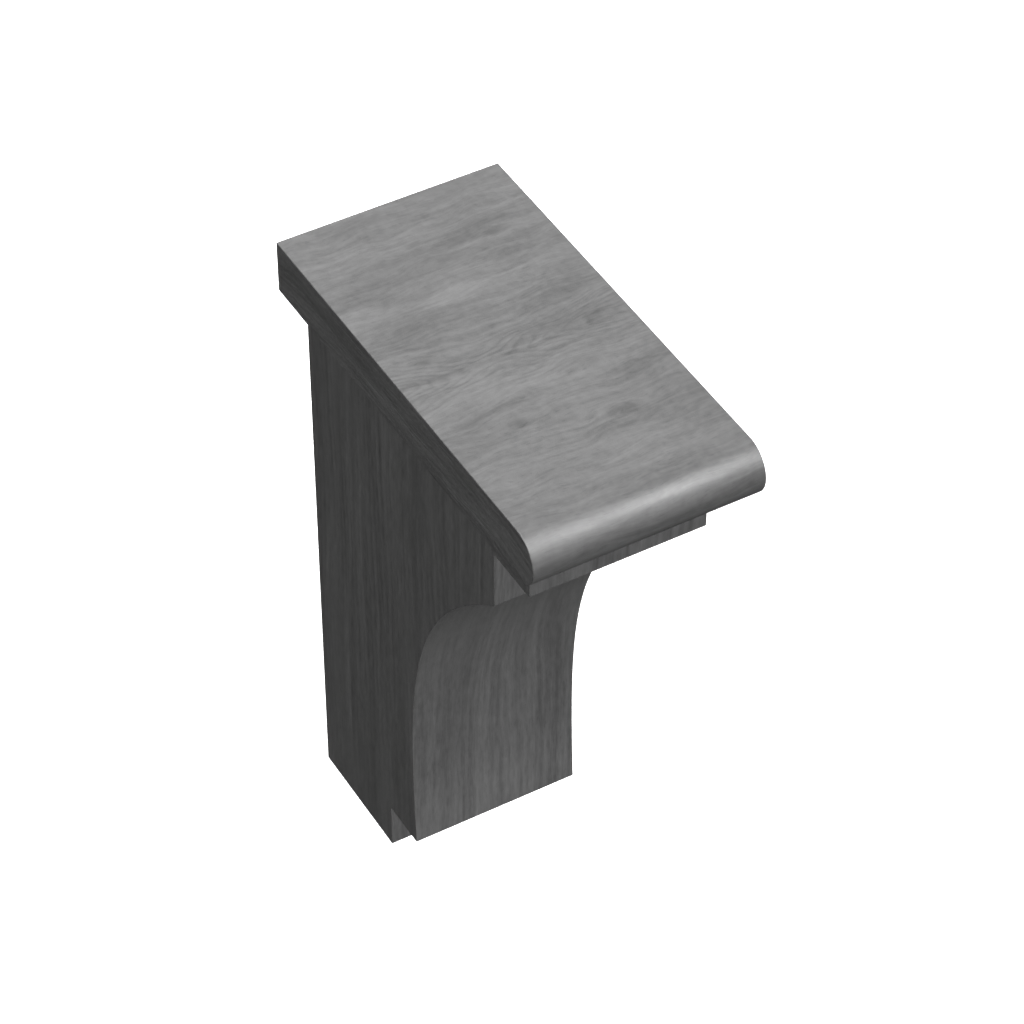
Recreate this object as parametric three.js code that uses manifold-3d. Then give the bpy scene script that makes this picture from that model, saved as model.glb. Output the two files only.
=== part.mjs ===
// Decorative timber corbel: a shaped bracket with a hollowed front, under a moulded cap board.
// Millimetres, +Z up. The wall is the plane Y = 0, and the corbel stands out from it towards -Y.
// The origin is the centre of the bracket's flat back, where it bears on the wall.

import * as THREE from 'three';
import { mergeVertices } from 'three/addons/utils/BufferGeometryUtils.js';
import Module from 'manifold-3d';

const wasm = await Module();
wasm.setup();

// Driving dimensions: the whole corbel
const overallHeight = 457.2;

// Cap board: its depth is from the wall to the front of its half-round nosing
const capWidth = 152.4;
const capDepth = 304.8;
const capThickness = 37.3;

// Bracket: how far each face stands back from the one above it
const capSideOverhang = 17;
const fasciaSetback = 33.1;
const fasciaHeight = 36.2;
const neckSetback = 40.5;
const neckHeight = 42;

// Bracket: the hollow's lower end, a lip that oversails the foot
const lipDepth = 127.8;
const footSetback = 34.6;
const footHeight = 35.4;

// Hollow: a sweep that leaves the neck at one slope and meets the lip at another, each held for its pull
const sweepTopSlope = THREE.MathUtils.degToRad(36.4);
const sweepTopPull = 139.8;
const sweepLipLean = THREE.MathUtils.degToRad(2.9);
const sweepLipPull = 125.9;

// Back arrises of the bracket, taken off so that it beds on an uneven wall
const backRelief = 3;

// Fineness of the curves, in flats to each
const nosingFlats = 36;
const sweepFlats = 48;

// Sizes that follow
const bracketHeight = overallHeight - capThickness;
const bracketWidth = capWidth - 2 * capSideOverhang;
const nosingRadius = capThickness / 2;
const fasciaDepth = capDepth - fasciaSetback;
const neckDepth = fasciaDepth - neckSetback;
const footDepth = lipDepth - footSetback;

// Finish: one grey stained timber, satin
const stainGrey = new THREE.Color(0.12, 0.12, 0.12);

// A side profile, drawn as depth from the wall and height, carried across the corbel's width.
function acrossWidth(profile, width, curveSegments) {
    const geometry = new THREE.ExtrudeGeometry(profile, { depth: width, bevelEnabled: false, curveSegments });
    const towardsFront = new THREE.Vector3(0, -1, 0);
    const up = new THREE.Vector3(0, 0, 1);
    const towardsLeft = new THREE.Vector3(-1, 0, 0);
    geometry.applyMatrix4(new THREE.Matrix4().makeBasis(towardsFront, up, towardsLeft));
    geometry.translate(width / 2, 0, 0);
    return geometry;
}

// A closed mesh as a solid that can be cut
function solidOf(geometry) {
    geometry.deleteAttribute('normal');
    geometry.deleteAttribute('uv');
    const merged = mergeVertices(geometry);
    return new wasm.Manifold(new wasm.Mesh({
        numProp: 3,
        vertProperties: merged.attributes.position.array,
        triVerts: new Uint32Array(merged.index.array),
    }));
}

// A solid as a mesh again, with flat faces
function geometryOf(solid) {
    const mesh = solid.getMesh();
    const geometry = new THREE.BufferGeometry();
    geometry.setAttribute('position', new THREE.BufferAttribute(mesh.vertProperties, mesh.numProp));
    geometry.setIndex(new THREE.BufferAttribute(mesh.triVerts, 1));
    return geometry.toNonIndexed();
}

// Cap board, from the seat upwards: square at the wall and rounded over its whole front edge
function capGeometry() {
    const profile = new THREE.Shape();
    profile.moveTo(0, 0);
    profile.lineTo(capDepth - nosingRadius, 0);
    profile.absarc(capDepth - nosingRadius, nosingRadius, nosingRadius, -Math.PI / 2, Math.PI / 2, false);
    profile.lineTo(0, capThickness);
    profile.closePath();
    return acrossWidth(profile, capWidth, nosingFlats / 2);
}

// Side profile of the bracket, from the seat downwards: fascia, neck, hollow, lip and foot
function bracketProfile() {
    const neckFoot = -fasciaHeight - neckHeight;
    const lipFoot = footHeight - bracketHeight;
    const profile = new THREE.Shape();
    profile.moveTo(0, 0);
    profile.lineTo(fasciaDepth, 0);
    profile.lineTo(fasciaDepth, -fasciaHeight);
    profile.lineTo(neckDepth, -fasciaHeight);
    profile.lineTo(neckDepth, neckFoot);
    profile.bezierCurveTo(
        neckDepth - sweepTopPull * Math.cos(sweepTopSlope),
        neckFoot - sweepTopPull * Math.sin(sweepTopSlope),
        lipDepth - sweepLipPull * Math.sin(sweepLipLean),
        lipFoot + sweepLipPull * Math.cos(sweepLipLean),
        lipDepth,
        lipFoot,
    );
    profile.lineTo(footDepth, lipFoot);
    profile.lineTo(footDepth, -bracketHeight);
    profile.lineTo(0, -bracketHeight);
    profile.closePath();
    return profile;
}

// A square bar set on edge along one back arris, twice the bracket's height, to take the arris off
function arrisCutter(side) {
    const bar = backRelief * Math.SQRT2;
    const cutter = new THREE.BoxGeometry(bar, bar, 2 * bracketHeight);
    cutter.rotateZ(Math.PI / 4);
    cutter.translate(side * bracketWidth / 2, 0, -bracketHeight / 2);
    return solidOf(cutter);
}

function bracketGeometry() {
    let solid = solidOf(acrossWidth(bracketProfile(), bracketWidth, sweepFlats));
    for (const side of [-1, 1]) {
        solid = solid.subtract(arrisCutter(side));
    }
    return geometryOf(solid);
}

function timberPiece(name, geometry, roughness) {
    const finish = new THREE.MeshStandardMaterial({ color: stainGrey, roughness, metalness: 0, flatShading: true });
    const piece = new THREE.Mesh(geometry, finish);
    piece.name = name;
    return piece;
}

// The cap board lies on the bracket at the seat, and both are drawn from it.
const seat = new THREE.Group();
seat.position.z = bracketHeight / 2;
seat.add(timberPiece('bracket_body', bracketGeometry(), 0.42));
seat.add(timberPiece('cap_board', capGeometry(), 0.41));

const corbel = new THREE.Group();
corbel.add(seat);

export default corbel;
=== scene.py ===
"""Dressed model of a decorative timber corbel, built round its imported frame.

The corbel has two pieces: a bracket with upright grain and a hollowed front, and a cap board with its grain
across the width and a half-round front edge. Each is a side outline carried across the width, with every
arris eased but those of the seat, and its timber is drawn along a grain direction that is stored on the mesh
face by face.

Lengths are in metres, +Z is up, the wall is the plane Y = 0 and the front faces -Y. An outline is drawn as
depth from the wall and height, clockwise from the top of the back.
"""

import logging
import math
from dataclasses import dataclass, replace
from enum import IntEnum

import bpy
import numpy as np
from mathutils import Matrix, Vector


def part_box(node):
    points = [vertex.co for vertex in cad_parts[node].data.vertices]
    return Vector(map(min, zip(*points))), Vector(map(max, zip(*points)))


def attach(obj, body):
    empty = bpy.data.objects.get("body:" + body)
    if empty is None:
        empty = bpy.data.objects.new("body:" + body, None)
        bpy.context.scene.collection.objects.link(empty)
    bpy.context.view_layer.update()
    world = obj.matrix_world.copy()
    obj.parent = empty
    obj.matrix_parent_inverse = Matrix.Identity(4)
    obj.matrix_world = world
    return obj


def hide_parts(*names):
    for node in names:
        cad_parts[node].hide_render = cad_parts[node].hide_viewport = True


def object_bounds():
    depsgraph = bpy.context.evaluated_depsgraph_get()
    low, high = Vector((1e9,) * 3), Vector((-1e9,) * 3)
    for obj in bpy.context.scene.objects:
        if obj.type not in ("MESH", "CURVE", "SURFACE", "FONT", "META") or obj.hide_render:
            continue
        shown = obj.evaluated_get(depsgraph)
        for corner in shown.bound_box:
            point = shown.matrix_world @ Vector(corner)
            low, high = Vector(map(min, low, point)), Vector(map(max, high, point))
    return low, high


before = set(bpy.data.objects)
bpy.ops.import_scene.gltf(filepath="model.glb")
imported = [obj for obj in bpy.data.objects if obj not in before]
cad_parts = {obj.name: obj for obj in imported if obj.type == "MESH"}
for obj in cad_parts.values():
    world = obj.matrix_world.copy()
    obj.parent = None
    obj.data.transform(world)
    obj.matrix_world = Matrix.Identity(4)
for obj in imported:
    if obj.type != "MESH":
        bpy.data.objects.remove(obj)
CAD_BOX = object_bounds()

log = logging.getLogger("corbel")

MM = 0.001
GRAIN_ATTRIBUTE = "grain"
END_SEED = 100.0
HALO_REACH = 1.9
WHITE = (1, 1, 1, 1)

# Where the seat and the hollow stand among the stretches of the bracket's outline.
SEAT, HOLLOW = 0, 4

# The average of every noise, and how much each finer octave of it keeps of the one before.
NOISE_MIDDLE = 0.5
NOISE_ROUGHNESS = 0.55

# How many patches a seed of 1 moves a noise along the grain, across it and between leaves.
SEED_MOVES = (1.0, 2.3, 0.7)

# Steps between the seeds of a finish's strays, streaks and marks, layer by layer.
WANDER_SEED = 1.7
STREAK_SEED = 5.1
MARK_SEED = 31.7

# Places in a growth ring, early wood first, with the level of each. The middle of a noise changes nothing.
RING_LEVELS = ((0.0, 0.5), (0.15, 0.6), (0.5, 0.56), (0.84, 0.36), (0.94, 0.4), (1.0, 0.5))

Array = np.ndarray
Point = tuple[float, float, float]


class Face(IntEnum):
    """The kinds of face that a carried outline has, each with its own run of grain."""

    WRAP = 0
    SOFFIT = 1
    BACK = 2
    SIDE = 3


@dataclass(frozen=True)
class Easing:
    """How an arris is taken off.

    Attributes:
        reach: distance from a corner of the outline to where its rounding starts.
        seat_reach: the same at the ends of a seat, whose arrises are left sharp.
        side: radius of the rounding where the outline meets a side.
        steps: flats in each rounding.
    """

    reach: float = 0.9 * MM
    seat_reach: float = 0.03 * MM
    side: float = 0.6 * MM
    steps: int = 4


@dataclass(frozen=True)
class Run:
    """One stretch of an outline, from corner to corner.

    Attributes:
        points: rows of depth and height, in order.
        face: the kind of face that it makes.
        is_seat: whether another piece lies on it, so that its arrises are left sharp.
    """

    points: Array
    face: Face
    is_seat: bool = False


def straight(start: Array, end: Array, spacing: float = 4 * MM) -> Array:
    """Points along a straight line, evenly spaced.

    Args:
        start: first point.
        end: last point.
        spacing: most distance between points.

    Returns:
        Rows of points, both ends included.
    """
    count = max(2, math.ceil(math.dist(start, end) / spacing) + 1)
    share = np.linspace(0, 1, count)[:, None]
    return (1 - share) * start + share * end


def half_round(centre: Array, radius: float, flats: int) -> Array:
    """A half circle from straight up, round the front, to straight down.

    The point at angle t from straight up is the centre plus the radius times (sine t, cosine t).

    Args:
        centre: centre of the circle.
        radius: its radius.
        flats: steps round it.

    Returns:
        Rows of points, both ends included.
    """
    angle = np.linspace(0, math.pi, flats + 1)
    return centre + radius * np.column_stack([np.sin(angle), np.cos(angle)])


def sweep(start: Array, start_pull: Array, end_pull: Array, end: Array, flats: int) -> Array:
    """A smooth sweep that leaves each end along a given pull.

    It is the cubic whose four controls are the start, the start moved by its pull, the end moved by its
    pull, and the end, weighted by the terms of (1 - t + t) cubed.

    Args:
        start: first point.
        start_pull: from the start towards its control.
        end_pull: from the end towards its control.
        end: last point.
        flats: steps along it.

    Returns:
        Rows of points, both ends included.
    """
    t = np.linspace(0, 1, flats + 1)[:, None]
    s = 1 - t
    return s**3 * start + 3 * s * s * t * (start + start_pull) + 3 * s * t * t * (end + end_pull) + t**3 * end


class Outline:
    """A closed outline with eased corners.

    Attributes:
        points: rows of depth and height.
        normals: unit normals that point out of the timber.
        arc: distance of each point from the start, measured along the outline.
        faces: the kind of face of the stretch from each point to the next.
        eased: 1 where the side arrises are eased and 0 on a seat.
    """

    def __init__(self, runs: list[Run], easing: Easing) -> None:
        """Joins the runs, easing each corner by a parabola whose control is the corner itself.

        Args:
            runs: the stretches in order, each starting where the one before ends.
            easing: how far the corners are taken off.
        """
        at_seat = [run.is_seat or runs[i - 1].is_seat for i, run in enumerate(runs)]
        reach = [easing.seat_reach if sharp else easing.reach for sharp in at_seat]
        cut = [self._cut(run.points, reach[i], reach[(i + 1) % len(runs)]) for i, run in enumerate(runs)]
        t = np.linspace(0, 1, easing.steps + 1)[1:-1, None]
        half = len(t) // 2
        pieces, kinds, eased = [], [], []
        for i, run in enumerate(runs):
            after = (i + 1) % len(runs)
            corner = run.points[-1]
            bend = (1 - t) ** 2 * cut[i][-1] + 2 * t * (1 - t) * corner + t**2 * cut[after][0]
            pieces += [cut[i], bend]
            kinds += [np.full(len(cut[i]) + half, run.face), np.full(len(bend) - half, runs[after].face)]
            eased += [np.full(len(cut[i]), not run.is_seat), np.full(len(bend), not at_seat[after])]
        self.points = np.concatenate(pieces)
        self.faces = np.concatenate(kinds)
        self.eased = np.concatenate(eased).astype(float)
        ahead = np.roll(self.points, -1, axis=0) - self.points
        step = np.linalg.norm(ahead, axis=1)
        self.arc = np.concatenate([[0.0], np.cumsum(step)[:-1]])
        direction = ahead / step[:, None]
        along = direction + np.roll(direction, 1, axis=0)
        along /= np.linalg.norm(along, axis=1)[:, None]
        self.normals = np.column_stack([-along[:, 1], along[:, 0]])

    @staticmethod
    def _cut(points: Array, first_reach: float, last_reach: float) -> Array:
        """A run without the ends that its corners take, and without points close to the cuts.

        Args:
            points: rows of points.
            first_reach: distance along the run that is taken off its start.
            last_reach: distance that is taken off its end.

        Returns:
            The shorter run, with a point where each cut falls.
        """
        step = np.linalg.norm(np.diff(points, axis=0), axis=1)
        arc = np.concatenate([[0.0], np.cumsum(step)])
        first, last = first_reach, arc[-1] - last_reach
        kept = arc[(arc > first + first_reach / 2) & (arc < last - last_reach / 2)]
        where = np.concatenate([[first], kept, [last]])
        return np.column_stack([np.interp(where, arc, points[:, i]) for i in (0, 1)])


@dataclass(frozen=True)
class Stations:
    """Places across the width where an outline stands.

    Attributes:
        across: distance from the middle plane, left to right.
        inset: how far the outline is drawn in there, along its normals.
        relief: how far its back is moved off the wall there.
        is_side: whether the strip from each place to the next belongs to a side face.
    """

    across: Array
    inset: Array
    relief: Array
    is_side: Array


def stations(width: float, easing: Easing, relief: float = 0.0, spacing: float = 6 * MM) -> Stations:
    """Places across a piece, close together where its arrises are eased.

    A side's rounding is a quarter circle: at angle t the outline is at the side less the radius times
    (1 - sine t), drawn in by the radius times (1 - cosine t). The relief rises in a straight line towards
    the side, and starts with a parabola.

    Args:
        width: width of the piece.
        easing: how its arrises are taken off.
        relief: width of the relief at each back arris.
        spacing: most distance between places.

    Returns:
        The places, left to right.
    """
    turn = np.linspace(math.pi / 2, 0, easing.steps + 1)
    rounding = width / 2 - easing.side * (1 - np.sin(turn))
    soft = easing.reach
    edge = width / 2 - relief
    relieved = edge + soft * np.linspace(1, -1, easing.steps + 1) if relief else np.empty(0)
    inner = (relieved if relief else rounding)[-1] - spacing
    plain = np.linspace(inner, 0, max(2, math.ceil(inner / spacing)))
    right = np.concatenate([rounding, relieved, plain])
    across = np.concatenate([-right[:-1], right[::-1]])
    inset = np.zeros(len(right))
    inset[: len(turn)] = easing.side * (1 - np.cos(turn))
    rise = np.zeros(len(right))
    if relief:
        past = right - edge
        share = (relief - easing.side) / relief
        rise = share * np.where(past > soft, past, np.clip(past + soft, 0, None) ** 2 / (4 * soft))
    side = np.arange(len(right) - 1) < easing.steps // 2
    return Stations(
        across,
        np.concatenate([inset[:-1], inset[::-1]]),
        np.concatenate([rise[:-1], rise[::-1]]),
        np.concatenate([side, side[::-1]]),
    )


@dataclass(frozen=True)
class Leaf:
    """Which part of the timber's figure a face shows.

    Attributes:
        seed: number that sets this face's own pattern, above END_SEED for end grain.
        shift: distance across the grain from the heart of the figure.
    """

    seed: float
    shift: float = 0.0

    def grain(self, along: Array, across: Array) -> Array:
        """The face's grain coordinates: along the grain, across it, and the seed.

        Args:
            along: distance along the grain at each point.
            across: distance across the grain at each point.

        Returns:
            The three stacked as a last axis.
        """
        return np.stack(np.broadcast_arrays(along, across + self.shift, self.seed), axis=-1)


@dataclass(frozen=True)
class EndGrain:
    """End grain: the pattern wound about the heart of the tree, which lies outside the piece.

    Attributes:
        heart: the heart's place in the plane of the face.
        tightening: how many times shorter the streaks are than on the long grain.
        closing: how many times narrower they are.
        leaf: the figure that it shows.
    """

    heart: tuple[float, float]
    tightening: float
    closing: float
    leaf: Leaf

    def grain(self, first: Array, second: Array) -> Array:
        """The way round the heart, and the distance from it, as grain coordinates.

        Args:
            first: first coordinate of each point in the plane of the face.
            second: second coordinate.

        Returns:
            Grain coordinates, as Leaf gives them.
        """
        one, two = first - self.heart[0], second - self.heart[1]
        middle = math.hypot(*self.heart)
        around = np.arctan2(one, two) * middle
        return self.leaf.grain(around * self.tightening, np.hypot(one, two) * self.closing)


class CarriedPiece:
    """A side outline carried across the width, with closed sides and eased arrises.

    Attributes:
        name: name of the piece.
        node: the CAD node that it replaces.
        slot: name for its material slot, not used.
        relief_depth: how far in front of the wall the relief of its back has faded out.
    """

    name: str
    node: str
    slot: str
    relief_depth: float = 12 * MM

    def outline(self) -> Outline:
        """The piece's side outline."""
        raise NotImplementedError

    def places(self) -> Stations:
        """The places across the width where the outline stands."""
        raise NotImplementedError

    def grain_of(self, across: Array, depth: Array, height: Array, arc: Array) -> dict[Face, Array]:
        """Grain coordinates of every point, as each kind of face sees it.

        Args:
            across: distance from the middle plane.
            depth: depth from the wall.
            height: height in the frame.
            arc: distance along the outline.

        Returns:
            An array of coordinates for each kind of face.
        """
        raise NotImplementedError

    def build(self) -> bpy.types.Object:
        """Makes the mesh: a grid of outline points by places across, with its two sides closed.

        A grid point is the outline point, drawn in along its normal where it is eased. Near the wall its
        depth then grows by the relief, shared out to nothing over the relief depth.

        Returns:
            The piece, linked to the scene.
        """
        line, place = self.outline(), self.places()
        rows, columns = len(place.across), len(line.points)
        drawn = line.points[None] - place.inset[:, None, None] * (line.eased[:, None] * line.normals)[None]
        near = np.clip(1 - drawn[..., 0] / self.relief_depth, 0, 1)
        depth = drawn[..., 0] + place.relief[:, None] * near
        height = drawn[..., 1]
        across = np.broadcast_to(place.across[:, None], depth.shape)
        arc = np.broadcast_to(line.arc[None], depth.shape)
        vertices = np.stack([across, -depth, height], axis=-1).reshape(-1, 3)

        row = np.arange(rows - 1)[:, None, None] + np.array([0, 0, 1, 1])
        column = (np.arange(columns)[None, :, None] + np.array([0, 1, 1, 0])) % columns
        quads = (row * columns + column).reshape(-1, 4)
        left = np.arange(columns)[::-1]
        right = (rows - 1) * columns + np.arange(columns)
        faces = quads.tolist() + [left.tolist(), right.tolist()]

        grain = self.grain_of(across, depth, height, arc)
        stacked = np.stack([grain[kind] for kind in Face])
        kind = np.where(place.is_side[:, None], int(Face.SIDE), line.faces[None])
        on_quads = stacked[kind[..., None], row, column].reshape(-1, 3)
        sides = grain[Face.SIDE].reshape(-1, 3)
        corners = np.concatenate([on_quads, sides[left], sides[right]])
        return self._dress(vertices, faces, corners)

    def _dress(self, vertices: Array, faces: list[list[int]], corners: Array) -> bpy.types.Object:
        """Puts the arrays into a mesh and gives it smooth shading that keeps its flats flat.

        Args:
            vertices: rows of positions.
            faces: vertex numbers of each face.
            corners: grain coordinates of every face corner, in order.

        Returns:
            The piece, linked to the scene.
        """
        mesh = bpy.data.meshes.new(self.name)
        mesh.from_pydata(vertices.tolist(), [], faces)
        attribute = mesh.attributes.new(GRAIN_ATTRIBUTE, "FLOAT_VECTOR", "CORNER")
        attribute.data.foreach_set("vector", corners.astype(np.float32).ravel())
        mesh.shade_smooth()
        mesh.update()
        piece = bpy.data.objects.new(self.name, mesh)
        bpy.context.scene.collection.objects.link(piece)
        flats = piece.modifiers.new("flat_faces_stay_flat", "WEIGHTED_NORMAL")
        flats.mode = "FACE_AREA"
        flats.keep_sharp = True
        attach(piece, "root")
        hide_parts(self.node)
        return piece


@dataclass(frozen=True)
class CapBoard(CarriedPiece):
    """The cap board: square at the wall, with a half-round front edge, and its grain across the width.

    Attributes:
        name, node, slot: as in CarriedPiece.
        easing: how its arrises are taken off.
        nosing_flats: steps round the front edge.
        face: figure of the top, the front edge and the underside.
        end: end grain of the two sides, whose heart lies far below the board.
    """

    name: str = "cap"
    node: str = "cap_board"
    slot: str = "cap_timber"
    easing: Easing = Easing()
    nosing_flats: int = 96
    face: Leaf = Leaf(seed=3.0)
    end: EndGrain = EndGrain(
        heart=(0.16, -0.45), tightening=2.4, closing=3.4, leaf=Leaf(seed=111.0, shift=0.7)
    )

    def outline(self) -> Outline:
        """The board's outline, from the box of its CAD node.

        Returns:
            Top, nosing and underside as one run, then the back.
        """
        low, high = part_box(self.node)
        depth, radius = -low.y, (high.z - low.z) / 2
        centre = np.array([depth - radius, high.z - radius])
        top_back, bottom_back = np.array([0.0, high.z]), np.array([0.0, low.z])
        nose = half_round(centre, radius, self.nosing_flats)
        front = np.concatenate([straight(top_back, nose[0])[:-1], nose, straight(nose[-1], bottom_back)[1:]])
        runs = [Run(front, Face.WRAP), Run(straight(bottom_back, top_back), Face.BACK)]
        return Outline(runs, self.easing)

    def places(self) -> Stations:
        """The places across the board's full width."""
        low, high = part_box(self.node)
        return stations(high.x - low.x, self.easing)

    def grain_of(self, across: Array, depth: Array, height: Array, arc: Array) -> dict[Face, Array]:
        """Grain across the width on the faces that wrap round, and end grain on the two sides.

        Args:
            across: distance from the middle plane.
            depth: depth from the wall.
            height: height in the frame.
            arc: distance along the outline.

        Returns:
            An array of coordinates for each kind of face.
        """
        wrap = self.face.grain(across, arc)
        back = self.face.grain(across, height.min() - height)
        return {Face.WRAP: wrap, Face.SOFFIT: wrap, Face.BACK: back, Face.SIDE: self.end.grain(depth, height)}


@dataclass(frozen=True)
class Bracket(CarriedPiece):
    """The bracket: fascia, neck, hollow, lip and foot, with its grain upright.

    Attributes:
        name, node, slot: as in CarriedPiece.
        easing: how its arrises are taken off.
        fascia_height: height of the face under the cap.
        neck_setback: how far the neck stands back from the fascia.
        neck_height: height of the neck.
        lip_depth: depth of the hollow's lower end.
        foot_setback: how far the foot stands back from the lip.
        foot_height: height of the foot.
        top_slope: slope at which the hollow leaves the neck, in degrees from level.
        top_pull: how long that slope is held.
        lip_lean: lean at which it meets the lip, in degrees from upright.
        lip_pull: how long that lean is held.
        relief: width of the relief at each back arris.
        sweep_flats: steps down the hollow.
        front: figure of the front faces, which follows the hollow.
        left: figure of the left side.
        right: figure of the right side.
        back: figure of the back.
        end: end grain of the level undersides.
    """

    name: str = "bracket"
    node: str = "bracket_body"
    slot: str = "bracket_timber"
    easing: Easing = Easing(side=0.4 * MM)
    fascia_height: float = 36.2 * MM
    neck_setback: float = 40.5 * MM
    neck_height: float = 42 * MM
    lip_depth: float = 127.8 * MM
    foot_setback: float = 34.6 * MM
    foot_height: float = 35.4 * MM
    top_slope: float = 36.4
    top_pull: float = 139.8 * MM
    lip_lean: float = 2.9
    lip_pull: float = 125.9 * MM
    relief: float = 3 * MM
    sweep_flats: int = 144
    front: Leaf = Leaf(seed=23.0, shift=0.5)
    left: Leaf = Leaf(seed=31.0, shift=0.4)
    right: Leaf = Leaf(seed=37.0, shift=0.45)
    back: Leaf = Leaf(seed=41.0, shift=0.35)
    end: EndGrain = EndGrain(
        heart=(0.19, 0.42), tightening=2.6, closing=1.6, leaf=Leaf(seed=147.0, shift=0.3)
    )

    def outline(self) -> Outline:
        """The bracket's outline, from the box of its CAD node and its own steps down the front.

        Returns:
            The seat, fascia, neck, hollow, lip, foot and back, with the level undersides between them.
        """
        low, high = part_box(self.node)
        fascia_depth = -low.y
        fascia_foot = high.z - self.fascia_height
        neck_depth = fascia_depth - self.neck_setback
        neck_foot = fascia_foot - self.neck_height
        lip_foot = low.z + self.foot_height
        foot_depth = self.lip_depth - self.foot_setback
        slope, lean = math.radians(self.top_slope), math.radians(self.lip_lean)
        hollow = sweep(
            np.array([neck_depth, neck_foot]),
            self.top_pull * np.array([-math.cos(slope), -math.sin(slope)]),
            self.lip_pull * np.array([-math.sin(lean), math.cos(lean)]),
            np.array([self.lip_depth, lip_foot]),
            self.sweep_flats,
        )
        stretches = (
            (Face.SOFFIT, (0.0, high.z)),
            (Face.WRAP, (fascia_depth, high.z)),
            (Face.SOFFIT, (fascia_depth, fascia_foot)),
            (Face.WRAP, (neck_depth, fascia_foot)),
            (Face.WRAP, (neck_depth, neck_foot)),
            (Face.SOFFIT, (self.lip_depth, lip_foot)),
            (Face.WRAP, (foot_depth, lip_foot)),
            (Face.SOFFIT, (foot_depth, low.z)),
            (Face.BACK, (0.0, low.z)),
        )
        corners = np.array([corner for _, corner in stretches])
        lines = [straight(a, b) for a, b in zip(corners, np.roll(corners, -1, axis=0))]
        lines[HOLLOW] = hollow
        runs = [Run(line, face) for line, (face, _) in zip(lines, stretches)]
        runs[SEAT] = replace(runs[SEAT], is_seat=True)
        return Outline(runs, self.easing)

    def places(self) -> Stations:
        """The places across the bracket, with the relief at its back arrises."""
        low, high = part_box(self.node)
        return stations(high.x - low.x, self.easing, self.relief)

    def grain_of(self, across: Array, depth: Array, height: Array, arc: Array) -> dict[Face, Array]:
        """Upright grain on the sides and back, grain down the outline in front, and end grain below.

        Args:
            across: distance from the middle plane.
            depth: depth from the wall.
            height: height in the frame.
            arc: distance along the outline.

        Returns:
            An array of coordinates for each kind of face.
        """
        is_left = (across < 0)[..., None]
        side = np.where(is_left, self.left.grain(height, depth), self.right.grain(height, depth))
        return {
            Face.WRAP: self.front.grain(arc, across),
            Face.SOFFIT: self.end.grain(across, depth),
            Face.BACK: self.back.grain(height, across),
            Face.SIDE: side,
        }


@dataclass(frozen=True)
class Noise:
    """Soft noise drawn out along the grain.

    Attributes:
        length: size of a patch along the grain.
        width: its size across the grain.
        detail: octaves of finer noise on it.
        seed: number that sets its pattern.
    """

    length: float
    width: float
    detail: float
    seed: float


KNOT_EDGES = Noise(length=9 * MM, width=3.5 * MM, detail=2.0, seed=7.9)
RING_STRAY = Noise(length=45 * MM, width=18 * MM, detail=2.0, seed=3.3)
RING_PATCHES = Noise(length=30 * MM, width=12 * MM, detail=1.0, seed=9.3)


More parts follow.
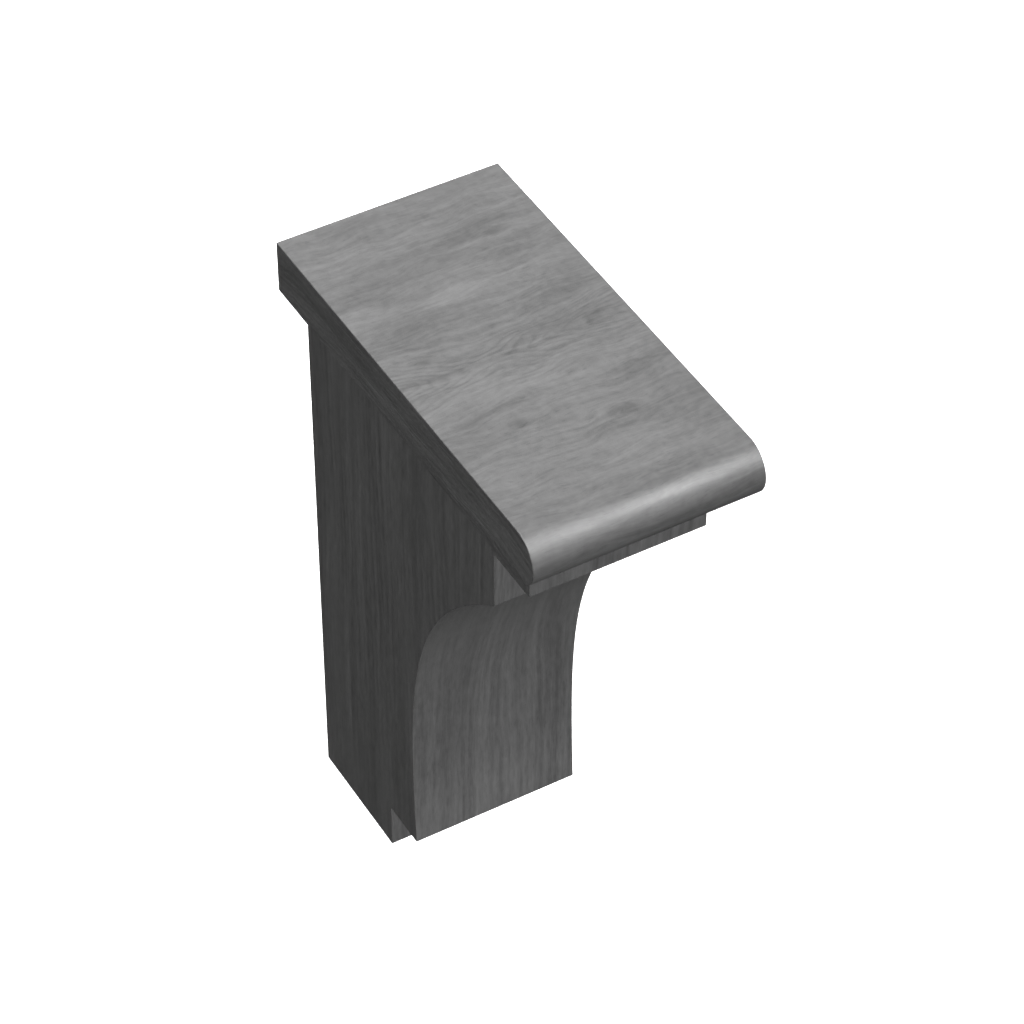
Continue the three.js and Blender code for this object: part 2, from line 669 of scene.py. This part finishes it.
class NodeSheet:
    """A material's node tree, with short calls for the nodes that the finishes use.

    Attributes:
        material: the material.
        tree: its node tree.
        shader: its Principled shader.
    """

    def __init__(self, name: str) -> None:
        """Starts a material with one Principled shader.

        Args:
            name: name of the material.
        """
        self.material = bpy.data.materials.new(name)
        self.material.use_nodes = True
        self.tree = self.material.node_tree
        self.shader = self.tree.nodes["Principled BSDF"]

    def node(self, kind: str, inputs: dict[str | int, object], **settings: object) -> bpy.types.Node:
        """Adds a node.

        Args:
            kind: the node's type.
            inputs: for each input, a socket to link or a value to set.
            settings: the node's own settings.

        Returns:
            The node.
        """
        node = self.tree.nodes.new(kind)
        for key, value in settings.items():
            setattr(node, key, value)
        for key, value in inputs.items():
            if isinstance(value, bpy.types.NodeSocket):
                self.tree.links.new(value, node.inputs[key])
            else:
                node.inputs[key].default_value = value
        return node

    def math(self, operation: str, *values: object) -> bpy.types.NodeSocket:
        """One step of arithmetic on numbers or sockets."""
        return self.node("ShaderNodeMath", dict(enumerate(values)), operation=operation).outputs[0]

    def vector(self, operation: str, *values: object) -> bpy.types.NodeSocket:
        """One step of arithmetic on vectors or sockets."""
        return self.node("ShaderNodeVectorMath", dict(enumerate(values)), operation=operation).outputs[0]

    def grain(self) -> bpy.types.NodeSocket:
        """The grain coordinates that the mesh carries."""
        return self.node("ShaderNodeAttribute", {}, attribute_name=GRAIN_ATTRIBUTE).outputs["Vector"]

    def parts(self, value: bpy.types.NodeSocket) -> bpy.types.NodeOutputs:
        """The three numbers of a vector."""
        return self.node("ShaderNodeSeparateXYZ", {0: value}).outputs

    def drawn_noise(
        self, grain: bpy.types.NodeSocket, noise: Noise, colour: bool = False
    ) -> bpy.types.NodeSocket:
        """Soft noise drawn out along the grain.

        Args:
            grain: grain coordinates.
            noise: its size, detail and seed.
            colour: whether it gives three values at once.

        Returns:
            One value, or three, each NOISE_MIDDLE on average.
        """
        place = tuple(noise.seed * move for move in SEED_MOVES)
        scale = (1 / noise.length, 1 / noise.width, 1)
        mapping = {"Vector": grain, "Location": place, "Scale": scale}
        mapped = self.node("ShaderNodeMapping", mapping).outputs[0]
        octaves = {"Vector": mapped, "Scale": 1.0, "Detail": noise.detail, "Roughness": NOISE_ROUGHNESS}
        return self.node("ShaderNodeTexNoise", octaves).outputs[1 if colour else 0]

    def off_middle(self, grain: bpy.types.NodeSocket, noise: Noise) -> bpy.types.NodeSocket:
        """Drawn-out noise less its average."""
        return self.math("SUBTRACT", self.drawn_noise(grain, noise), NOISE_MIDDLE)

    def smooth_step(
        self, value: bpy.types.NodeSocket, low: float, high: float, falling: bool = False
    ) -> bpy.types.NodeSocket:
        """A step with soft ends.

        Args:
            value: the value that it follows.
            low: value at which it starts.
            high: value at which it ends.
            falling: whether it goes from 1 to 0, and not from 0 to 1.

        Returns:
            The step's value.
        """
        limits = {"From Min": low, "From Max": high, "To Min": float(falling), "To Max": float(not falling)}
        step = self.node("ShaderNodeMapRange", {"Value": value} | limits, interpolation_type="SMOOTHSTEP")
        return step.outputs[0]

    def finish(self, **sockets: bpy.types.NodeSocket) -> None:
        """Links sockets to the shader's inputs, each named in small letters with underscores."""
        for name, socket in sockets.items():
            self.tree.links.new(socket, self.shader.inputs[name.replace("_", " ").title()])


@dataclass(frozen=True)
class Wander:
    """A sideways stray of the grain, so that no streak is ruler straight.

    Attributes:
        length: length of one stray along the grain.
        width: how far across the grain it reaches.
        distance: how far it moves the grain.
        detail: octaves of finer stray on it.
    """

    length: float
    width: float
    distance: float
    detail: float = 0.0


@dataclass(frozen=True)
class Streaks:
    """One layer of soft streaks.

    Attributes:
        length: size of a streak along the grain.
        width: its size across the grain.
        tone: how much it darkens and lightens the stain.
        gloss: how much it changes the roughness.
        relief: how much it adds to the surface's relief.
        detail: octaves of finer noise on it.
    """

    length: float
    width: float
    tone: float
    gloss: float = 0.0
    relief: float = 0.0
    detail: float = 1.5


@dataclass(frozen=True)
class Figure:
    """Growth rings, which the face cuts into nested arches.

    Attributes:
        along: place along the grain where the arches turn.
        across: place across the grain where they close.
        below: how far the heart of the tree lies under the face.
        taper: how fast the rings narrow along the grain.
        reach: distance from the closing line over which the taper fades.
        spacing: distance between rings.
        stray: how far the rings wander.
        tone: how much darker late wood is near the closing line.
        far_tone: how much darker it is far from there.
    """

    along: float
    across: float
    below: float
    taper: float
    reach: float
    spacing: float
    stray: float
    tone: float
    far_tone: float


@dataclass(frozen=True)
class KnotOrPaintedLight:
    """An oval mark in the stain that the grain flows round: a knot, a cloud of tone, or an oval of painted
    light.

    Attributes:
        along: its place along the grain.
        across: its place across the grain.
        length: half its length.
        width: half its width.
        tone: how much it darkens the stain, or lightens it below 0.
        push: how far it spreads the grain, as a share of its width.
        halo: how much it lightens the stain up to HALO_REACH times its size.
    """

    along: float
    across: float
    length: float
    width: float
    tone: float
    push: float = 0.0
    halo: float = 0.0


@dataclass(frozen=True)
class Marks:
    """Small dark marks strewn over the timber.

    Attributes:
        length: size along the grain.
        width: size across it.
        rarity: value of the noise above which a mark shows.
        softness: how far above that it is at its darkest.
        tone: how much it darkens the stain.
        detail: octaves of finer noise on its edge.
    """

    length: float
    width: float
    rarity: float
    softness: float
    tone: float
    detail: float = 1.0


@dataclass(frozen=True)
class TimberFinish:
    """Grey stained timber under a satin coat.

    Attributes:
        name: name of the material.
        stain: middle grey of the stain.
        roughness: middle roughness of the coat.
        relief: height of the grain's relief.
        wander: how the grain strays.
        figure: its growth rings.
        streaks: its layers of streaks and mottling.
        marks: its strewn marks.
        knots_and_painted_light: its knots and clouds, and ovals of painted light, lighter stain where light
            falls on a rounding.
        ragged: how far the edges of the knots and clouds stray.
        end_contrast: how many times stronger the tone is on end grain.
        darkest: the tone that the darkest marks come to.
        darkest_blend: range of tone over which that limit is eased in.
        smoothest: the least roughness.
        smoothest_blend: range of roughness over which that limit is eased in.
    """

    name: str
    stain: float
    roughness: float
    relief: float
    wander: tuple[Wander, ...]
    figure: Figure
    streaks: tuple[Streaks, ...]
    marks: tuple[Marks, ...]
    knots_and_painted_light: tuple[KnotOrPaintedLight, ...] = ()
    ragged: float = 14 * MM
    end_contrast: float = 2.2
    darkest: float = -0.4
    darkest_blend: float = 0.3
    smoothest: float = 0.34
    smoothest_blend: float = 0.1

    def material(self) -> bpy.types.Material:
        """Builds the material: every layer adds to one tone, one gloss and one relief.

        The stain is its middle grey times one more than the tone.

        Returns:
            The material.
        """
        sheet = NodeSheet(self.name)
        leaf = sheet.grain()
        grain, tone = self._flow_round_knots_and_paint_light(sheet, self._strayed(sheet, leaf))
        rings = self._ring_tone(sheet, grain)
        tone = sheet.math("ADD", tone, rings)
        gloss, relief = self.roughness, rings
        for number, layer in enumerate(self.streaks, start=1):
            noise = Noise(layer.length, layer.width, layer.detail, STREAK_SEED * number)
            offset = sheet.off_middle(grain, noise)
            tone = sheet.math("MULTIPLY_ADD", offset, layer.tone, tone)
            if layer.gloss:
                gloss = sheet.math("MULTIPLY_ADD", offset, layer.gloss, gloss)
            if layer.relief:
                relief = sheet.math("MULTIPLY_ADD", offset, layer.relief, relief)
        for number, marks in enumerate(self.marks, start=1):
            noise = Noise(marks.length, marks.width, marks.detail, MARK_SEED * number)
            shown = sheet.drawn_noise(grain, noise)
            mark = sheet.smooth_step(shown, marks.rarity, marks.rarity + marks.softness)
            tone = sheet.math("MULTIPLY_ADD", mark, -marks.tone, tone)
        is_end = sheet.math("GREATER_THAN", sheet.parts(leaf)[2], END_SEED)
        contrast = sheet.math("MULTIPLY_ADD", is_end, self.end_contrast - 1, 1.0)
        tone = sheet.math("MULTIPLY", tone, contrast)
        tone = sheet.math("SMOOTH_MAX", tone, self.darkest, self.darkest_blend)
        stain = sheet.math("MULTIPLY_ADD", tone, self.stain, self.stain)
        bump = sheet.node("ShaderNodeBump", {"Height": relief, "Strength": 1.0, "Distance": self.relief})
        sheet.finish(
            base_color=sheet.math("MAXIMUM", stain, 0.0),
            roughness=sheet.math("SMOOTH_MAX", gloss, self.smoothest, self.smoothest_blend),
            normal=bump.outputs[0],
        )
        return sheet.material

    def _strayed(self, sheet: NodeSheet, grain: bpy.types.NodeSocket) -> bpy.types.NodeSocket:
        """Grain coordinates moved sideways by soft noise.

        Args:
            sheet: the node tree.
            grain: grain coordinates.

        Returns:
            The moved coordinates.
        """
        for number, wander in enumerate(self.wander, start=1):
            noise = Noise(wander.length, wander.width, wander.detail, WANDER_SEED * number)
            sideways = sheet.math("MULTIPLY", sheet.off_middle(grain, noise), wander.distance)
            grain = sheet.vector("ADD", grain, sheet.node("ShaderNodeCombineXYZ", {1: sideways}).outputs[0])
        return grain

    def _flow_round_knots_and_paint_light(
        self, sheet: NodeSheet, grain: bpy.types.NodeSocket
    ) -> tuple[bpy.types.NodeSocket, bpy.types.NodeSocket | float]:
        """Grain coordinates that flow round the knots, and the tone of the knots, the clouds and the painted
        light.

        A knot's weight is 1 at its middle and 0 at its edge, where the length of the offset, measured in
        its half sizes, is 1. Inside it the coordinate across is drawn towards the middle by the push.

        Args:
            sheet: the node tree.
            grain: grain coordinates.

        Returns:
            The moved coordinates, and the tone.
        """
        tone: bpy.types.NodeSocket | float = 0.0
        moved = grain
        if not self.knots_and_painted_light:
            return moved, tone
        stray = sheet.drawn_noise(grain, KNOT_EDGES, colour=True)
        stray = sheet.vector("SUBTRACT", stray, (NOISE_MIDDLE, NOISE_MIDDLE, 0))
        stray = sheet.vector("MULTIPLY", stray, (self.ragged, self.ragged / 2, 0))
        strayed = sheet.vector("ADD", grain, stray)
        for knot_or_light in self.knots_and_painted_light:
            away = sheet.vector("SUBTRACT", strayed, (knot_or_light.along, knot_or_light.across, 0))
            sized = sheet.vector("MULTIPLY", away, (1 / knot_or_light.length, 1 / knot_or_light.width, 0))
            far = sheet.node("ShaderNodeVectorMath", {0: sized}, operation="LENGTH").outputs["Value"]
            weight = sheet.smooth_step(far, 0.0, 1.0, falling=True)
            tone = sheet.math("MULTIPLY_ADD", weight, -knot_or_light.tone, tone)
            if knot_or_light.halo:
                wide = sheet.smooth_step(far, 0.0, HALO_REACH, falling=True)
                tone = sheet.math("MULTIPLY_ADD", wide, knot_or_light.halo, tone)
            if knot_or_light.push:
                inward = sheet.vector("MULTIPLY", away, (0, -knot_or_light.push, 0))
                pull = sheet.node("ShaderNodeVectorMath", {0: inward, 3: weight}, operation="SCALE")
                moved = sheet.vector("ADD", moved, pull.outputs[0])
        return moved, tone

    def _ring_tone(self, sheet: NodeSheet, grain: bpy.types.NodeSocket) -> bpy.types.NodeSocket:
        """Tone of the growth rings: light early wood that darkens slowly, then a quick return.

        The distance from the tree's heart is the root of the squares of the offset across the grain and of
        the heart's distance below the face. The taper takes off it a share of the like root for the offset
        along the grain, and fades with the square of the offset across. The share of a ring that is left,
        with the whole rings taken out, gives the place in the ring.

        Args:
            sheet: the node tree.
            grain: grain coordinates.

        Returns:
            The tone, near 0 on average.
        """
        figure = self.figure
        away = sheet.vector("SUBTRACT", grain, (figure.along, figure.across, 0))
        along, across = sheet.parts(away)[:2]
        below = figure.below**2
        from_heart = sheet.math("SQRT", sheet.math("MULTIPLY_ADD", across, across, below))
        turned = sheet.math("SQRT", sheet.math("MULTIPLY_ADD", along, along, below))
        share = sheet.math("DIVIDE", across, figure.reach)
        near = sheet.math("DIVIDE", 1.0, sheet.math("MULTIPLY_ADD", share, share, 1.0))
        tapered = sheet.math("MULTIPLY", sheet.math("MULTIPLY", turned, near), -figure.taper)
        distance = sheet.math("ADD", from_heart, tapered)
        distance = sheet.math("MULTIPLY_ADD", sheet.drawn_noise(grain, RING_STRAY), figure.stray, distance)
        place = sheet.math("FRACT", sheet.math("DIVIDE", distance, figure.spacing))
        ramp = sheet.node("ShaderNodeValToRGB", {"Fac": place})
        band = ramp.color_ramp
        for position, _ in RING_LEVELS[1:-1]:
            band.elements.new(position)
        for element, (_, level) in zip(band.elements, RING_LEVELS):
            element.color = (level, level, level, 1)
        strength = sheet.math("MULTIPLY_ADD", near, figure.tone - figure.far_tone, figure.far_tone)
        patchy = sheet.math("MULTIPLY", strength, sheet.drawn_noise(grain, RING_PATCHES))
        strength = sheet.math("MULTIPLY", patchy, 1 / NOISE_MIDDLE)
        return sheet.math("MULTIPLY", sheet.math("SUBTRACT", ramp.outputs[0], NOISE_MIDDLE), strength)


PORES = Marks(length=5 * MM, width=0.5 * MM, rarity=0.6, softness=0.14, tone=0.18)

# The cap's knots, clouds and nosing band of painted highlight, in mm: along, across, half length and half
# width, then tone, push and halo.
CAP_KNOTS_AND_PAINTED_HIGHLIGHT = tuple(
    KnotOrPaintedLight(along * MM, across * MM, length * MM, width * MM, *strengths)
    for along, across, length, width, *strengths in (
        (42, 57, 15, 7, 0.38, 0.7, 0.14),
        (-44, 78, 16, 8, 0.28, 0.6, 0.12),
        (-54, 138, 12, 5, 0.3, 0.4, 0.08),
        (-31, 210, 15, 6, 0.34, 0.7, 0.14),
        (27, 229, 16, 7, 0.42, 0.7, 0.16),
        (-6, 94, 32, 14, -0.16),
        (-32, 33, 80, 14, -0.14),
        (52, 50, 70, 14, 0.14),
        (-48, 67, 60, 12, 0.1),
        (12, 114, 60, 16, -0.1),
        (56, 152, 16, 16, 0.16),
        (-22, 180, 100, 15, -0.12),
        (-58, 199, 60, 9, 0.14),
        (62, 202, 50, 14, 0.14),
        (22, 238, 45, 28, 0.14),
        # A darker band along the front of the top, then painted highlight: a lighter band over the nosing's
        # upper rounding, where its highlight falls.
        (0, 278, 160, 9, 0.1),
        (0, 296, 160, 12, -0.08),
    )
)

CAP_TIMBER = TimberFinish(
    name="grey_stained_cap_timber",
    stain=0.124,
    roughness=0.41,
    relief=0.04 * MM,
    wander=(
        Wander(length=0.18, width=50 * MM, distance=10 * MM),
        Wander(length=30 * MM, width=14 * MM, distance=9 * MM),
    ),
    figure=Figure(
        along=-0.017,
        across=0.155,
        below=11 * MM,
        taper=0.4,
        reach=0.02,
        spacing=4.6 * MM,
        stray=20 * MM,
        tone=0.8,
        far_tone=0.12,
    ),
    streaks=(
        Streaks(length=0.22, width=50 * MM, tone=0.4),
        Streaks(length=60 * MM, width=30 * MM, tone=0.15, gloss=0.4),
        Streaks(length=0.22, width=16 * MM, tone=0.22),
        Streaks(length=0.12, width=7 * MM, tone=0.22, gloss=0.2, relief=3.0),
        Streaks(length=32 * MM, width=9 * MM, tone=0.12, gloss=0.26, relief=6.0),
        Streaks(length=50 * MM, width=2.4 * MM, tone=0.36, gloss=0.12, relief=0.25),
        Streaks(length=8 * MM, width=3.5 * MM, tone=0.3, gloss=0.1),
        Streaks(length=10 * MM, width=1.0 * MM, tone=0.2, gloss=0.05, relief=0.12),
        Streaks(length=5 * MM, width=6 * MM, tone=0.28),
    ),
    marks=(Marks(length=26 * MM, width=9 * MM, rarity=0.65, softness=0.25, tone=0.2), PORES),
    knots_and_painted_light=CAP_KNOTS_AND_PAINTED_HIGHLIGHT,
)

BRACKET_TIMBER = TimberFinish(
    name="grey_stained_bracket_timber",
    stain=0.12,
    roughness=0.42,
    relief=0.04 * MM,
    wander=(
        Wander(length=0.16, width=50 * MM, distance=14 * MM),
        Wander(length=40 * MM, width=12 * MM, distance=2 * MM),
    ),
    figure=Figure(
        along=0.0,
        across=-0.3,
        below=9 * MM,
        taper=0.0,
        reach=0.05,
        spacing=5.5 * MM,
        stray=12 * MM,
        tone=0.4,
        far_tone=0.4,
    ),
    streaks=(
        Streaks(length=0.4, width=45 * MM, tone=0.15),
        Streaks(length=0.26, width=15 * MM, tone=0.55),
        Streaks(length=0.18, width=6.5 * MM, tone=0.42, gloss=0.12),
        Streaks(length=0.12, width=2.8 * MM, tone=0.56, gloss=0.2, relief=0.4),
        Streaks(length=26 * MM, width=2 * MM, tone=0.3, gloss=0.2),
        Streaks(length=9 * MM, width=3.5 * MM, tone=0.42, gloss=0.1),
        Streaks(length=12 * MM, width=0.9 * MM, tone=0.42, gloss=0.1, relief=0.2),
    ),
    marks=(Marks(length=40 * MM, width=4 * MM, rarity=0.66, softness=0.25, tone=0.25), PORES),
    knots_and_painted_light=(
        # Painted light: a wide oval that lightens the stain across the whole width of the lower hollow, just
        # above the lip, where the sweep turns up.
        KnotOrPaintedLight(along=0.72, across=0.5, length=60 * MM, width=0.2, tone=-0.2),
        KnotOrPaintedLight(along=0.06, across=0.44, length=0.34, width=28 * MM, tone=-0.12),
    ),
)


def bearing(azimuth: float, elevation: float) -> Vector:
    """Unit direction from the corbel, at an azimuth right of its front and an elevation, in degrees."""
    turn, rise = math.radians(azimuth), math.radians(elevation)
    return Vector((math.sin(turn) * math.cos(rise), -math.cos(turn) * math.cos(rise), math.sin(rise)))


@dataclass(frozen=True)
class SoftBox:
    """A round soft light that faces the corbel, so broad and even that it leaves no shadow.

    Attributes:
        name: name of the light.
        azimuth: where it stands, in degrees to the right of the front.
        elevation: how high it stands, in degrees.
        spread: half the angle that it takes up, seen from the corbel, in degrees.
        brightness: light that it lays on a surface that faces it, in watts per square metre.
        distance: how far off it stands.
    """

    name: str
    azimuth: float
    elevation: float
    spread: float
    brightness: float
    distance: float = 8.0

    def build(self, middle: Vector) -> None:
        """Sets the light up.

        Its power is its brightness times pi times the square of the distance to its rim.

        Args:
            middle: the point that it faces.
        """
        radius = self.distance * math.tan(math.radians(self.spread))
        light = bpy.data.lights.new(self.name, "AREA")
        light.shape = "DISK"
        light.size = 2 * radius
        light.energy = self.brightness * math.pi * (self.distance**2 + radius**2)
        light.use_shadow = False
        box = bpy.data.objects.new(self.name, light)
        towards = bearing(self.azimuth, self.elevation)
        box.location = middle + towards * self.distance
        box.rotation_euler = towards.to_track_quat("Z", "Y").to_euler()
        box.visible_camera = False
        bpy.context.scene.collection.objects.link(box)


@dataclass(frozen=True)
class Studio:
    """A plain pale floor far below the corbel, pale surroundings, and soft lights.

    Attributes:
        ambient: brightness of the surroundings as the corbel sees them.
        backdrop: brightness of the floor and surroundings as the camera sees them.
        floor_drop: how far the floor lies under the frame's origin.
        floor_size: length of its sides.
        floor_grey: grey of its paint.
        lights: the soft boxes.
    """

    ambient: float = 0.05
    backdrop: float = 1.0
    floor_drop: float = 2.6
    floor_size: float = 80.0
    floor_grey: float = 0.8
    lights: tuple[SoftBox, ...] = (
        SoftBox("overhead_left", azimuth=-95, elevation=80, spread=6, brightness=2.82),
        SoftBox("front_right", azimuth=34, elevation=50, spread=20, brightness=2.756),
        SoftBox("front_right_core", azimuth=26, elevation=42, spread=14, brightness=0.682),
        SoftBox("behind", azimuth=158, elevation=7, spread=8, brightness=2.115),
        SoftBox("front", azimuth=25, elevation=20, spread=8, brightness=0.161),
        SoftBox("left", azimuth=-75, elevation=-10, spread=20, brightness=0.424),
        SoftBox("low_left", azimuth=-55, elevation=-30, spread=20, brightness=0.168),
        SoftBox("below", azimuth=0, elevation=-80, spread=25, brightness=0.119),
    )

    def build(self) -> None:
        """Sets up the floor, the surroundings and the lights."""
        middle = (CAD_BOX[0] + CAD_BOX[1]) / 2
        for light in self.lights:
            light.build(middle)
        self._floor()
        self._surroundings()
        bpy.context.scene.view_settings.view_transform = "Standard"

    def _floor(self) -> None:
        """A square of pale floor that throws no light back on the corbel."""
        half = self.floor_size / 2
        corners = half * np.array([[-1, -1, 0], [1, -1, 0], [1, 1, 0], [-1, 1, 0]])
        corners[:, 2] = -self.floor_drop
        mesh = bpy.data.meshes.new("floor")
        mesh.from_pydata(corners.tolist(), [], [[0, 1, 2, 3]])
        floor = bpy.data.objects.new("floor", mesh)
        floor.visible_diffuse = False
        floor.visible_glossy = False
        bpy.context.scene.collection.objects.link(floor)
        sheet = NodeSheet("pale_floor")
        grey = self.floor_grey
        sheet.shader.inputs["Base Color"].default_value = (grey, grey, grey, 1)
        sheet.shader.inputs["Emission Color"].default_value = WHITE
        sheet.shader.inputs["Emission Strength"].default_value = self.backdrop
        mesh.materials.append(sheet.material)

    def _surroundings(self) -> None:
        """Even surroundings, bright to the camera and dimmer to the corbel."""
        world = bpy.data.worlds.new("pale_surroundings")
        bpy.context.scene.world = world
        world.use_nodes = True
        nodes, links = world.node_tree.nodes, world.node_tree.links
        background = nodes["Background"]
        background.inputs["Color"].default_value = WHITE
        seen = nodes.new("ShaderNodeLightPath").outputs["Is Camera Ray"]
        strength = nodes.new("ShaderNodeMapRange")
        strength.inputs["To Min"].default_value = self.ambient
        strength.inputs["To Max"].default_value = self.backdrop
        links.new(seen, strength.inputs["Value"])
        links.new(strength.outputs[0], background.inputs["Strength"])


@dataclass(frozen=True)
class ViewCamera:
    """The camera, at the photograph's angle and distance.

    Attributes:
        azimuth: where it stands, in degrees to the right of the front.
        elevation: how high it looks from, in degrees.
        aim: the point of the frame on its axis.
        distance: how far it stands from that point.
        field: its angle of view, in degrees.
    """

    azimuth: float = -30.0
    elevation: float = 43.557
    aim: Point = (-0.0017, -0.1524, 0.11547)
    distance: float = 2.33996
    field: float = 15.0

    def build(self) -> None:
        """Sets the camera up and makes it the scene's."""
        data = bpy.data.cameras.new("camera")
        data.lens = data.sensor_width / 2 / math.tan(math.radians(self.field) / 2)
        camera = bpy.data.objects.new("camera", data)
        back = bearing(self.azimuth, self.elevation)
        camera.location = Vector(self.aim) + back * self.distance
        camera.rotation_euler = back.to_track_quat("Z", "Y").to_euler()
        bpy.context.scene.collection.objects.link(camera)
        bpy.context.scene.camera = camera


def main() -> None:
    """Builds the camera, the two pieces and the studio, and reports each piece."""
    logging.basicConfig(level=logging.INFO, format="%(name)s: %(message)s")
    ViewCamera().build()
    for maker, finish in ((Bracket(), BRACKET_TIMBER), (CapBoard(), CAP_TIMBER)):
        piece = maker.build()
        piece.data.materials.append(finish.material())
        log.info("%s: %d faces, %s", piece.name, len(piece.data.polygons), finish.name)
    Studio().build()


if __name__ == "__main__":
    main()
